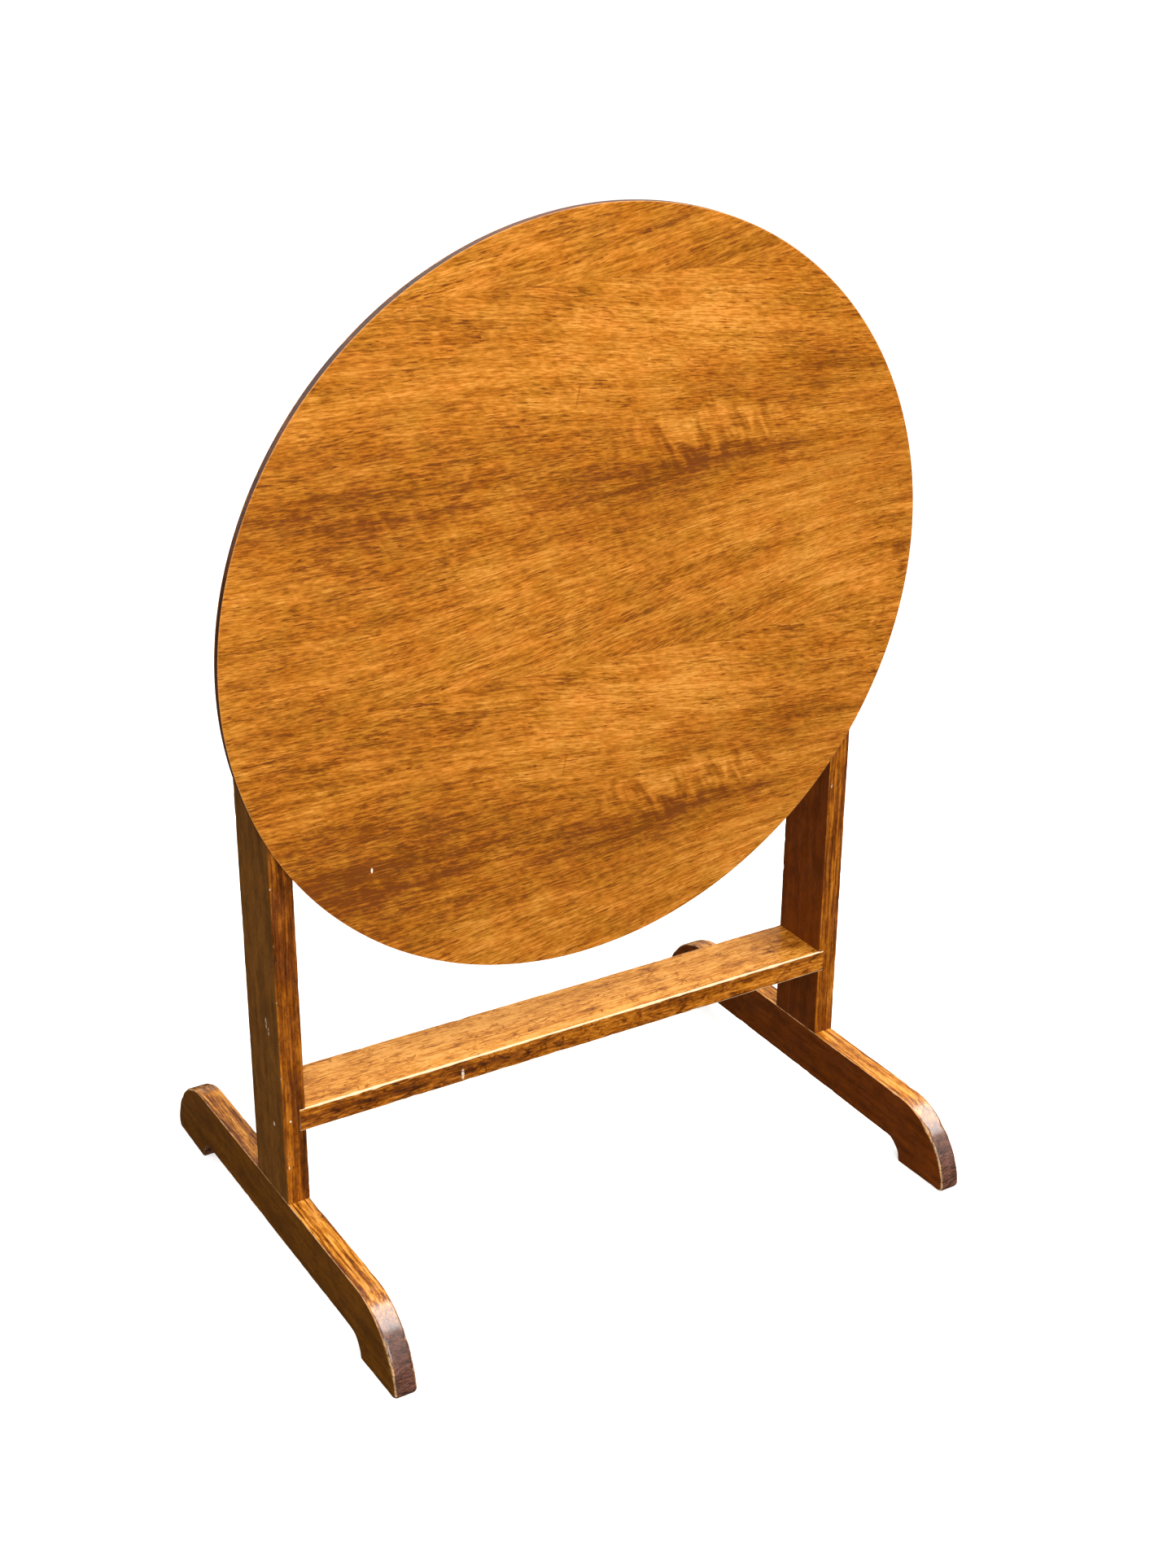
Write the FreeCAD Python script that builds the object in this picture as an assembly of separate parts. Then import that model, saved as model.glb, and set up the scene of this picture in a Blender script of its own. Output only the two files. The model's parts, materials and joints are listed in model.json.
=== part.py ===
import FreeCAD, Part
import math
import os

# Tilt top table, in millimetres. +Z is up and the front is -Y.
# The origin is on the floor, midway between the two uprights and at the middle of their depth.
# The top is drawn flat and then tipped about its pivots, because it is shown stored on edge.

Vec = FreeCAD.Vector

# Driving dimensions
frame_width = 660.0          # across the outer faces of the uprights
timber = 23.5                # planed thickness of uprights and feet
upright_depth = 73.5
foot_length = 530.0
foot_height = 77.5
arch_height = 22.0           # hollow under each foot
arch_half = 192.0            # from the middle of the foot to the end of the hollow
lower_rail_top = 181.0
lower_rail_thick = 24.5
housing_depth = 6.0          # the lower rail is let into the uprights
table_height = 705.0
top_radius = 375.0
top_thick = 9.5
pivot_drop = 50.7            # from the underside of the top down to the pivots
tip_angle = 93.4             # from flat to stored
rest_gap = 0.3               # between the flat top and the uprights under it

# Layers of the top, from the underside up
back_panel_thick = 2.9
veneer_thick = 0.7
lipping_wide = 4.0
lipping_seam_angle = 121.0   # where the two lipping strips meet, in degrees about the disc
back_panel_setback = 0.4

# Bearers under the top, one inside each upright
bearer_gap = 1.7             # between a bearer and its upright
bearer_thick = 22.0
bearer_half = 160.0
bearer_deep = 40.0
bearer_end_deep = 25.0
bearer_flat_half = 62.0      # half of the stretch that keeps the full depth
boss_radius = 18.0

# Pivots
bolt_radius = 5.0
bolt_head_radius = 10.0
bolt_head_cone = 5.0
running_clearance = 0.05
washer_radius = 11.0
washer_thick = 1.2
nut_height = 9.0
nut_flat_half = 8.0

# Upper rail, which the catch locks to
upper_rail_thick = 16.5
upper_rail_bottom = 604.0
upper_rail_high = 45.0
slot_half = 26.0
slot_bottom = 615.5
slot_high = 18.0
slot_deep = 11.0

# Catch: a block under the top with a turn button below it
block_half = 35.0
block_front = 40.0
block_thick = 24.0
block_bottom = 630.0
button_thick = 10.0
button_wide = 18.0
button_tongue = 25.0         # from the screw to the tongue's end
button_tail = 34.0
button_gap = 0.3
button_screw_radius = 2.25
button_screw_head = 5.0

# Dowels and screws
foot_dowel_radius = 5.0
foot_dowel_reach = 28.0      # into each of the two pieces it joins
foot_dowel_spacing = 40.0
rail_dowel_radius = 4.0
rail_dowel_spacing = 36.0
dowel_cover = 5.0            # wood left between a dowel's end and the outer face
rail_dowel_reach = 30.0      # into the rail
screw_radius = 2.2
screw_head_radius = 4.3
screw_head_cone = 2.6
screw_bite = 5.0             # how far a screw goes into the top

edge_soft = 1.0              # rounding of the frame's long edges
toe_soft = 8.0               # the worn bottom corner of each toe
upright_back_soft = 12.0     # the upright's top corner at the back
rail_front_soft = 2.0        # the lower rail's front top edge is rounder
rim_soft = 0.6

# Worked out from the above
half_width = frame_width / 2
half_depth = upright_depth / 2
inner_face = half_width - timber
underside = table_height - top_thick
pivot_z = underside - pivot_drop
upright_top = underside - rest_gap
core_bottom = underside + back_panel_thick
veneer_bottom = table_height - veneer_thick
bearer_outer = inner_face - bearer_gap
bearer_inner = bearer_outer - bearer_thick
block_middle = block_front + block_thick / 2
button_top = block_bottom - button_gap
button_bottom = button_top - button_thick

sides = {"left": -1, "right": 1}


def box(x0, x1, y0, y1, z0, z1):
    return Part.makeBox(x1 - x0, y1 - y0, z1 - z0, Vec(x0, y0, z0))


def boxOnSide(side, near, far, y0, y1, z0, z1):
    """A box from x = side * near to x = side * far."""
    a, b = sorted((side * near, side * far))
    return box(a, b, y0, y1, z0, z1)


def rodAlongX(side, near, far, radius, y, z):
    """A round rod on the left (-1) or right (1) side, between two distances from the middle."""
    return Part.makeCylinder(radius, far - near, Vec(side * near, y, z), Vec(side, 0, 0))


def outlineToSolid(edges, x0, x1):
    """A closed outline in the plane x = 0, made into a board from x0 to x1."""
    face = Part.Face(Part.Wire(edges))
    face.translate(Vec(x0, 0, 0))
    return face.extrude(Vec(x1 - x0, 0, 0))


def inYZ(y, z):
    return Vec(0, y, z)


def line(a, b):
    return Part.makeLine(inYZ(*a), inYZ(*b))


def arc(a, middle, b):
    return Part.Arc(inYZ(*a), inYZ(*middle), inYZ(*b)).toShape()


def soften(shape, radius, wanted):
    """Round the edges that the test picks."""
    edges = [edge for edge in shape.Edges if wanted(edge)]
    return shape.makeFillet(radius, edges)


def runsAlong(axis):
    """A test for straight edges along one axis: 0 for X, 1 for Y, 2 for Z."""
    def test(edge):
        if not isinstance(edge.Curve, Part.Line):
            return False
        direction = edge.Curve.Direction
        return abs(direction[axis]) > 0.999
    return test


def tipped(shape):
    """Turn a shape drawn on the flat top into the stored place."""
    turned = shape.copy()
    turned.rotate(Vec(0, 0, pivot_z), Vec(1, 0, 0), tip_angle)
    return turned


def screwUp(x, y, bottom, tip):
    """A countersunk screw that points up, with its head flush at the bottom."""
    head = Part.makeCone(screw_head_radius, screw_radius, screw_head_cone, Vec(x, y, bottom))
    point = 3.0
    shank = Part.makeCylinder(screw_radius, tip - point - bottom - screw_head_cone,
                              Vec(x, y, bottom + screw_head_cone))
    end = Part.makeCone(screw_radius, 0.6, point, Vec(x, y, tip - point))
    return head.fuse([shank, end]).removeSplitter()


# ---- the stand ----

def footDowels(side):
    x = side * (half_width - timber / 2)
    return [Part.makeCylinder(foot_dowel_radius, 2 * foot_dowel_reach,
                              Vec(x, y, foot_height - foot_dowel_reach))
            for y in (-foot_dowel_spacing / 2, foot_dowel_spacing / 2)]


def railDowels(side, y_places, z_places):
    return [rodAlongX(side, inner_face - housing_depth - rail_dowel_reach, half_width - dowel_cover,
                      rail_dowel_radius, y, z)
            for y in y_places for z in z_places]


def lowerRailDowels(side):
    return railDowels(side, (-rail_dowel_spacing / 2, rail_dowel_spacing / 2),
                      (lower_rail_top - lower_rail_thick / 2,))


def upperRailDowels(side):
    middle = half_depth - upper_rail_thick / 2
    return railDowels(side, (middle,), (upper_rail_bottom + 12, upper_rail_bottom + upper_rail_high - 12))


def foot(side):
    """A board with quarter-round toes and a shallow arch with rounded ends."""
    end = foot_length / 2
    toe = foot_height
    flat = end - toe
    arch_flat = arch_half - arch_height
    diagonal = math.sqrt(0.5)
    edges = [
        line((-flat, foot_height), (flat, foot_height)),
        arc((flat, foot_height), (flat + toe * diagonal, toe * diagonal), (end, 0)),
        line((end, 0), (arch_half, 0)),
        arc((arch_half, 0), (arch_flat + arch_height * diagonal, arch_height * diagonal),
            (arch_flat, arch_height)),
        line((arch_flat, arch_height), (-arch_flat, arch_height)),
        arc((-arch_flat, arch_height), (-arch_flat - arch_height * diagonal, arch_height * diagonal),
            (-arch_half, 0)),
        line((-arch_half, 0), (-end, 0)),
        arc((-end, 0), (-flat - toe * diagonal, toe * diagonal), (-flat, foot_height)),
    ]
    a, b = sorted((side * inner_face, side * half_width))
    board = outlineToSolid(edges, a, b)
    board = soften(board, toe_soft, lambda edge: runsAlong(0)(edge) and edge.BoundBox.ZMax < 0.1
                   and abs(edge.BoundBox.YMin) > end - 1)
    board = soften(board, edge_soft, lambda edge: not runsAlong(0)(edge) and edge.BoundBox.ZMax > 1)
    return board.cut(footDowels(side))


def upright(side):
    """A post rounded at its front top corner so that the top can swing over it, and less so at the back."""
    swing = pivot_drop - rest_gap
    shoulder = math.sqrt(swing ** 2 - half_depth ** 2)
    half_way = math.radians(90 + 0.5 * math.degrees(math.asin(half_depth / swing)))
    edges = [
        line((-half_depth, foot_height), (half_depth, foot_height)),
        line((half_depth, foot_height), (half_depth, upright_top)),
        line((half_depth, upright_top), (0, upright_top)),
        arc((0, upright_top), (swing * math.cos(half_way), pivot_z + swing * math.sin(half_way)),
            (-half_depth, pivot_z + shoulder)),
        line((-half_depth, pivot_z + shoulder), (-half_depth, foot_height)),
    ]
    a, b = sorted((side * inner_face, side * half_width))
    board = outlineToSolid(edges, a, b)
    board = soften(board, upright_back_soft, lambda edge: runsAlong(0)(edge) and edge.BoundBox.ZMin > upright_top - 0.1
                   and edge.BoundBox.YMin > half_depth - 0.1)
    board = soften(board, edge_soft, runsAlong(2))
    housing = boxOnSide(side, inner_face, inner_face + housing_depth, -half_depth, half_depth,
                        lower_rail_top - lower_rail_thick, lower_rail_top)
    return board.cut([housing, pivotBolt(side)] + footDowels(side) + lowerRailDowels(side)
                     + upperRailDowels(side))


def lowerRail():
    reach = inner_face + housing_depth
    rail = box(-reach, reach, -half_depth, half_depth, lower_rail_top - lower_rail_thick, lower_rail_top)

    def frontTop(edge):
        return runsAlong(0)(edge) and edge.BoundBox.ZMin > lower_rail_top - 1 and edge.BoundBox.YMax < 0

    rail = soften(rail, rail_front_soft, frontTop)
    rail = soften(rail, edge_soft, lambda edge: runsAlong(0)(edge) and abs(edge.BoundBox.YMin) > half_depth - 0.1
                  and not (edge.BoundBox.YMin < 0 and edge.BoundBox.ZMin > lower_rail_top - 4))
    return rail.cut(lowerRailDowels(-1) + lowerRailDowels(1))


def upperRail():
    back = half_depth
    rail = box(-inner_face, inner_face, back - upper_rail_thick, back,
               upper_rail_bottom, upper_rail_bottom + upper_rail_high)
    rail = soften(rail, edge_soft, runsAlong(0))
    slot = box(-slot_half, slot_half, back - slot_deep, back + 1, slot_bottom, slot_bottom + slot_high)
    return rail.cut([slot] + upperRailDowels(-1) + upperRailDowels(1))


# ---- the pivots ----

def pivotBolt(side):
    """A bolt with its countersunk head flush in the upright's outer face."""
    inner_end = bearer_inner - 0.4 - washer_thick - nut_height + 2.0
    shank = rodAlongX(side, inner_end, half_width - bolt_head_cone, bolt_radius, 0, pivot_z)
    head = Part.makeCone(bolt_radius, bolt_head_radius, bolt_head_cone,
                         Vec(side * (half_width - bolt_head_cone), 0, pivot_z), Vec(side, 0, 0))
    return shank.fuse(head).removeSplitter()


def slottedPivotBolt(side):
    slot = boxOnSide(side, half_width - 1.8, half_width + 1, -bolt_head_radius, bolt_head_radius,
                     pivot_z - 0.8, pivot_z + 0.8)
    return pivotBolt(side).cut(slot)


def washer(side, near):
    disc = rodAlongX(side, near, near + washer_thick, washer_radius, 0, pivot_z)
    return disc.cut(rodAlongX(side, near - 1, near + washer_thick + 1, bolt_radius, 0, pivot_z))


def pivotNut(side):
    """A six-sided nut with a domed end, on the bolt's inner end."""
    outer = bearer_inner - 0.4 - washer_thick
    corner = nut_flat_half / math.cos(math.radians(30))
    points = [Vec(side * (outer - nut_height), corner * math.cos(math.radians(60 * i)),
                  pivot_z + corner * math.sin(math.radians(60 * i))) for i in range(7)]
    body = Part.Face(Part.makePolygon(points)).extrude(Vec(side * nut_height, 0, 0))
    dome = Part.makeSphere(nut_flat_half + 2.0, Vec(side * (outer - nut_height + 8.0), 0, pivot_z))
    rounded = body.common(dome)
    return rounded.cut(rodAlongX(side, outer - nut_height + 2.0, outer + 1, bolt_radius, 0, pivot_z))


# ---- the top, drawn flat ----

def disc(radius, bottom, thick):
    return Part.makeCylinder(radius, thick, Vec(0, 0, bottom))


def screwPlaces(side):
    x = side * (bearer_outer + bearer_inner) / 2
    return [(x, y) for y in (-140.0, -50.0, 50.0, 140.0)]


def bearerDepthAt(y):
    if abs(y) <= bearer_flat_half:
        return bearer_deep
    run = (abs(y) - bearer_flat_half) / (bearer_half - bearer_flat_half)
    return bearer_deep + run * (bearer_end_deep - bearer_deep)


def bearerScrews(side):
    tip = underside + screw_bite
    return [screwUp(x, y, underside - bearerDepthAt(y) + recess, tip)
            for (x, y), recess in zip(screwPlaces(side), (2.0, 0.0, 0.0, 2.0))]


def blockScrews():
    tip = underside + screw_bite
    return [screwUp(x, block_middle, block_bottom, tip) for x in (-24.0, 24.0)]


def screwClearance(screws):
    """Screws with their heads carried on downwards, to cut the recess that they sit in."""
    wells = [Part.makeCylinder(screw_head_radius, 6.0,
                               Vec(screw.BoundBox.Center.x, screw.BoundBox.Center.y, screw.BoundBox.ZMin - 6.0))
             for screw in screws]
    return screws + wells


def allTopScrews():
    return bearerScrews(-1) + bearerScrews(1) + blockScrews()


def backPanel():
    panel = disc(top_radius - back_panel_setback, underside, back_panel_thick)
    panel = soften(panel, rim_soft, lambda edge: edge.BoundBox.ZMax < underside + 0.1 and edge.BoundBox.XLength > 1)
    return panel.cut(allTopScrews())


def topCore():
    core = disc(top_radius - lipping_wide, core_bottom, veneer_bottom - core_bottom)
    return core.cut(allTopScrews())


def edgeLipping(start):
    """Half of the solid strip round the edge, from one seam to the other."""
    high = veneer_bottom - core_bottom
    outer = Part.makeCylinder(top_radius, high, Vec(0, 0, core_bottom), Vec(0, 0, 1), 180)
    inner = disc(top_radius - lipping_wide, core_bottom - 1, high + 2)
    strip = outer.cut(inner)
    strip.rotate(Vec(0, 0, 0), Vec(0, 0, 1), start)
    return strip


def faceVeneer():
    sheet = disc(top_radius, veneer_bottom, veneer_thick)
    return soften(sheet, rim_soft, lambda edge: edge.BoundBox.ZMin > table_height - 0.1 and edge.BoundBox.XLength > 1)


def bearer(side):
    """A tapered arm under the top, with a round boss that hangs down to the pivot."""
    step = math.sqrt(0.5) * boss_radius
    low = underside - bearer_deep
    edges = [
        line((-bearer_half, underside), (bearer_half, underside)),
        line((bearer_half, underside), (bearer_half, underside - bearer_end_deep)),
        line((bearer_half, underside - bearer_end_deep), (bearer_flat_half, low)),
        line((bearer_flat_half, low), (boss_radius, low)),
        line((boss_radius, low), (boss_radius, pivot_z)),
        arc((boss_radius, pivot_z), (step, pivot_z - step), (0, pivot_z - boss_radius)),
        arc((0, pivot_z - boss_radius), (-step, pivot_z - step), (-boss_radius, pivot_z)),
        line((-boss_radius, pivot_z), (-boss_radius, low)),
        line((-boss_radius, low), (-bearer_flat_half, low)),
        line((-bearer_flat_half, low), (-bearer_half, underside - bearer_end_deep)),
        line((-bearer_half, underside - bearer_end_deep), (-bearer_half, underside)),
    ]
    a, b = sorted((side * bearer_inner, side * bearer_outer))
    board = outlineToSolid(edges, a, b)
    bore = rodAlongX(side, bearer_inner - 1, bearer_outer + 1, bolt_radius + running_clearance, 0, pivot_z)
    return board.cut([bore] + screwClearance(bearerScrews(side)))


def latchBlock():
    block = box(-block_half, block_half, block_front, block_front + block_thick, block_bottom, underside)
    block = soften(block, 2.0, lambda edge: runsAlong(0)(edge) and edge.BoundBox.ZMax < block_bottom + 1)
    return block.cut(blockScrews() + [buttonScrew()])


def turnButton():
    """A wooden button whose tongue points to the left until it is turned to the rail."""
    half = button_wide / 2
    body = box(-button_tongue, button_tail - half, block_middle - half, block_middle + half,
               button_bottom, button_top)
    tail = Part.makeCylinder(half, button_thick, Vec(button_tail - half, block_middle, button_bottom))
    body = body.fuse(tail).removeSplitter()
    body = soften(body, 1.5, lambda edge: edge.BoundBox.ZMax < button_bottom + 0.1)
    bore = Part.makeCylinder(button_screw_radius + running_clearance, button_thick + 2,
                             Vec(0, block_middle, button_bottom - 1))
    return body.cut(bore)


def buttonWasher():
    ring = Part.makeCylinder(7.0, 1.0, Vec(0, block_middle, button_bottom - button_gap - 1.0))
    return ring.cut(Part.makeCylinder(button_screw_radius, 4.0, Vec(0, block_middle, button_bottom - 3.0)))


def buttonScrew():
    """A round-head screw up into the block. Its head bears on the washer."""
    seat = button_bottom - button_gap - 1.0
    shank = Part.makeCylinder(button_screw_radius, block_bottom + 22.0 - seat, Vec(0, block_middle, seat))
    dome = Part.makeSphere(button_screw_head, Vec(0, block_middle, seat))
    dome = dome.common(box(-6, 6, block_middle - 6, block_middle + 6, seat - 3.2, seat))
    return dome.fuse(shank).removeSplitter()


def slottedButtonScrew():
    low = button_bottom - button_gap - 1.0 - 3.2
    return buttonScrew().cut(box(-6, 6, block_middle - 0.6, block_middle + 0.6, low - 1, low + 1.4))


# ---- write every node ----

def makeNodes():
    nodes = {"lower_rail": lowerRail(), "upper_rail": upperRail()}
    for name, side in sides.items():
        nodes["foot_" + name] = foot(side)
        nodes["upright_" + name] = upright(side)
        nodes["foot_dowels_" + name] = Part.makeCompound(footDowels(side))
        nodes["lower_rail_dowels_" + name] = Part.makeCompound(lowerRailDowels(side))
        nodes["upper_rail_dowels_" + name] = Part.makeCompound(upperRailDowels(side))
        nodes["pivot_bolt_" + name] = slottedPivotBolt(side)
        nodes["pivot_washer_" + name] = washer(side, inner_face - washer_thick)
        nodes["pivot_inner_washer_" + name] = washer(side, bearer_inner - 0.4 - washer_thick)
        nodes["pivot_nut_" + name] = pivotNut(side)
        nodes["bearer_" + name] = tipped(bearer(side))
        nodes["bearer_screws_" + name] = tipped(Part.makeCompound(bearerScrews(side)))
    nodes["back_panel"] = tipped(backPanel())
    nodes["top_core"] = tipped(topCore())
    nodes["face_veneer"] = tipped(faceVeneer())
    nodes["edge_lipping_a"] = tipped(edgeLipping(lipping_seam_angle))
    nodes["edge_lipping_b"] = tipped(edgeLipping(lipping_seam_angle + 180))
    nodes["latch_block"] = tipped(latchBlock())
    nodes["latch_block_screws"] = tipped(Part.makeCompound(blockScrews()))
    nodes["turn_button"] = tipped(turnButton())
    nodes["button_washer"] = tipped(buttonWasher())
    nodes["button_screw"] = tipped(slottedButtonScrew())
    return nodes


os.makedirs("parts", exist_ok=True)
for node_name, node_shape in makeNodes().items():
    node_shape.exportStep("parts/" + node_name + ".step")
    print(node_name, len(node_shape.Solids), "solid", round(node_shape.Volume / 1000, 2), "cm3")
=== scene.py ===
import json
import math

import bmesh
import bpy
import mathutils
import numpy as np
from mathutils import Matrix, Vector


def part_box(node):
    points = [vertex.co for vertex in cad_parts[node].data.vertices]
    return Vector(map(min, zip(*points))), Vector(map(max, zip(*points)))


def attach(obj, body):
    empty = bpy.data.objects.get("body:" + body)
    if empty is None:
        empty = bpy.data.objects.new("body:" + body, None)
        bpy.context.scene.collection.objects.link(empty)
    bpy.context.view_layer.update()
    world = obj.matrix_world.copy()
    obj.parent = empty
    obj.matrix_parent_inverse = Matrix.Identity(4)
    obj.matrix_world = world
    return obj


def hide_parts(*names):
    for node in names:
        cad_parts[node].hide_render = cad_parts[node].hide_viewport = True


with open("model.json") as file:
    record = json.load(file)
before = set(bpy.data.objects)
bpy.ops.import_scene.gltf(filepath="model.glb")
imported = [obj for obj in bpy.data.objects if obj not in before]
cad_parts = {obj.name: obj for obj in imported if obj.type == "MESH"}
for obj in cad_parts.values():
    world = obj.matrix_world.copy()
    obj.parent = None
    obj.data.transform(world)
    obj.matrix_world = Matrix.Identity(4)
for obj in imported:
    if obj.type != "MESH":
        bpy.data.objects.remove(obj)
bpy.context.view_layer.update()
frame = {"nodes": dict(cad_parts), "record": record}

print("frame loaded:", len(frame["nodes"]), "nodes")

# where things are, in metres

joints = {joint["name"]: joint for joint in frame["record"]["behaviour"]["joints"]}
pivotPlace = np.array(joints["top_tilt"]["pos_m"])
tipAngle = math.radians(-joints["top_tilt"]["range_deg"][0])
mm = 0.001


def boxOf(node):
    low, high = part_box(node)
    return np.array(low), np.array(high)


# a flat-top place (x, y, z) turned about the pivots into the stored place:
# y' = y cos a - z sin a, z' = y sin a + z cos a, both measured from the pivot
def toStored(points):
    offset = points - pivotPlace
    c, s = math.cos(tipAngle), math.sin(tipAngle)
    turned = np.stack([offset[..., 0], offset[..., 1] * c - offset[..., 2] * s,
                       offset[..., 1] * s + offset[..., 2] * c], axis=-1)
    return turned + pivotPlace


# meshes

# a closed mesh with its faces turned outward, from an array of places and a list of index lists
def closedMesh(name, points, faces):
    mesh = bpy.data.meshes.new(name)
    mesh.from_pydata(points.reshape(-1, 3).tolist(), [], faces)
    work = bmesh.new()
    work.from_mesh(mesh)
    bmesh.ops.recalc_face_normals(work, faces=work.faces)
    work.to_mesh(mesh)
    work.free()
    return mesh


def shadeSmooth(mesh, sharpAngle):
    mesh.polygons.foreach_set("use_smooth", np.ones(len(mesh.polygons), dtype=bool))
    mesh.set_sharp_from_angle(angle=math.radians(sharpAngle))


# arris has one number for each point: 1 on a rounded edge and 0 on a flat face, for the wear and for a
# painted edge highlight
def makePiece(name, points, faces, arris, material, body, nodes):
    mesh = closedMesh(name, points, faces)
    attribute = mesh.attributes.new("arris", "FLOAT", "POINT")
    attribute.data.foreach_set("value", np.asarray(arris, dtype=np.float32).ravel())
    shadeSmooth(mesh, 50)
    mesh.materials.append(material)
    piece = bpy.data.objects.new(name, mesh)
    bpy.context.scene.collection.objects.link(piece)
    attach(piece, body)
    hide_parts(*nodes)
    return piece


# the four-sided faces between neighbouring rows of a grid of points; the rows close on
# themselves when ring is true
def gridFaces(rows, columns, ring):
    across = columns if ring else columns - 1
    row, column = np.meshgrid(np.arange(rows - 1), np.arange(across), indexing="ij")
    beside = (column + 1) % columns
    corners = [row * columns + column, row * columns + beside,
               (row + 1) * columns + beside, (row + 1) * columns + column]
    return np.stack(corners, axis=-1).reshape(-1, 4).tolist()


# a slow wave of about one unit: the sum over k of sin(2 pi s / length_k + phase_k) / 2
def slowWave(along, lengths, randomness):
    phases = randomness.uniform(0, 2 * math.pi, len(lengths))
    waves = np.sin(2 * math.pi * along[:, None] / np.array(lengths) + phases)
    return waves.sum(axis=1) / 2


# how round a worn edge is along its length: base * (1 + 0.25 * wave) + the sum of small bumps
# depth_i * exp(-((s - s_i) / width_i)^2), one for each knock
def wornRadius(along, base, knocks, depth, randomness):
    radius = base * (1 + 0.25 * slowWave(along, (0.31, 0.083, 0.021), randomness))
    places = randomness.uniform(along.min(), along.max(), knocks)
    widths = randomness.uniform(0.0015, 0.006, knocks)
    depths = randomness.uniform(0.3, 1.0, knocks) * depth
    bumps = depths * np.exp(-((along[:, None] - places) / widths) ** 2)
    return radius + bumps.sum(axis=1)


# one rounded rectangle for each station: corner c has its arc centre radius inside the two
# sides, and its points are centre + radius * (cos t, sin t) over a quarter turn
def roundedSections(low0, high0, low1, high1, radii, arcSteps=5, support=0.0012):
    turns = np.linspace(0, math.pi / 2, arcSteps + 1)
    sides0 = (high0, low0, low0, high0)
    sides1 = (high1, high1, low1, low1)
    signs = ((1, 1), (-1, 1), (-1, -1), (1, -1))
    points, arris = [], []
    for corner in range(4):
        radius = radii[corner][:, None]
        angles = turns + corner * math.pi / 2
        a = sides0[corner][:, None] - signs[corner][0] * radius + radius * np.cos(angles)
        b = sides1[corner][:, None] - signs[corner][1] * radius + radius * np.sin(angles)
        along = np.array([math.cos(angles[0] + math.pi / 2), math.sin(angles[0] + math.pi / 2)])
        before = np.stack([a[:, 0] - along[0] * support, b[:, 0] - along[1] * support], axis=-1)
        along = np.array([math.cos(angles[-1] + math.pi / 2), math.sin(angles[-1] + math.pi / 2)])
        after = np.stack([a[:, -1] + along[0] * support, b[:, -1] + along[1] * support], axis=-1)
        points += [before[:, None, :], np.stack([a, b], axis=-1), after[:, None, :]]
        arris += [0.0, *np.sin(turns * 2).tolist(), 0.0]
    return np.concatenate(points, axis=1), np.array(arris)


# a bar: rounded sections carried along one axis, with a flat cap at each end
def carriedBar(stations, sections, arris, order):
    rows, columns = sections.shape[:2]
    carried = np.broadcast_to(stations[:, None], (rows, columns))
    axes = {"a": sections[..., 0], "b": sections[..., 1], "s": carried}
    points = np.stack([axes[letter] for letter in order], axis=-1)
    faces = gridFaces(rows, columns, True)
    faces.append(list(range(columns)))
    faces.append(list(range((rows - 1) * columns, rows * columns)))
    return points, faces, np.broadcast_to(arris, (rows, columns))


# a shape turned about the middle of the flat top: (r, z) goes to (r cos t, r sin t, z) for t
# from start to start + sweep; wobble moves the rim in and out by that many metres
def turnedShape(profile, start, sweep, steps, wobble, randomness):
    whole = abs(sweep - 2 * math.pi) < 1e-6
    turns = start + np.linspace(0, sweep, steps, endpoint=not whole)
    radius = np.array([point[0] for point in profile])
    height = np.array([point[1] for point in profile])
    wave = slowWave(turns, (math.pi, 2 * math.pi / 7, 2 * math.pi / 23), randomness) * wobble
    r = radius[None, :] + wave[:, None] * (radius[None, :] > 0.9 * radius.max())
    points = np.stack([r * np.cos(turns)[:, None], r * np.sin(turns)[:, None],
                       np.broadcast_to(height, r.shape)], axis=-1)
    return points, whole


# a board with a closed outline in the plane of Y and Z and rounded edges: outline point p with
# inward normal n carries the points p + d n, where (d, x) follows a quarter arc at each face
def outlinedBoard(outline, x0, x1, radii, arcSteps=5, support=0.0012):
    ahead = np.roll(outline, -1, axis=0) - outline
    ahead /= np.linalg.norm(ahead, axis=1, keepdims=True)
    tangent = ahead + np.roll(ahead, 1, axis=0)
    tangent /= np.linalg.norm(tangent, axis=1, keepdims=True)
    following = np.roll(outline, -1, axis=0)
    turning = np.sum(outline[:, 0] * following[:, 1] - outline[:, 1] * following[:, 0])
    inward = np.stack([-tangent[:, 1], tangent[:, 0]], axis=-1) * np.sign(turning)
    turns = np.linspace(0, math.pi / 2, arcSteps + 1)
    r = radii[:, None]
    depth = np.concatenate([r + support, r * (1 - np.sin(turns)), r * 0, r * 0,
                            r * (1 - np.sin(turns[::-1])), r + support], axis=1)
    across = np.concatenate([x0 + r * 0, x0 + r * (1 - np.cos(turns)), x0 + r + support, x1 - r - support,
                             x1 - r * (1 - np.cos(turns[::-1])), x1 + r * 0], axis=1)
    y = outline[:, None, 0] + depth * inward[:, None, 0]
    z = outline[:, None, 1] + depth * inward[:, None, 1]
    points = np.stack([across, y, z], axis=-1)
    bulge = np.sin(turns * 2)
    arris = np.concatenate([[0.0], bulge, [0.0, 0.0], bulge, [0.0]])
    rows, columns = points.shape[:2]
    faces = gridFaces(rows + 1, columns, False)
    faces = [[index % (rows * columns) for index in face] for face in faces]
    faces.append([row * columns for row in range(rows)])
    faces.append([row * columns + columns - 1 for row in range(rows)])
    return points, faces, np.broadcast_to(arris, (rows, columns))


# node helpers

def addNode(tree, kind, **settings):
    node = tree.nodes.new("ShaderNode" + kind)
    for name, value in settings.items():
        setattr(node, name, value)
    return node


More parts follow.
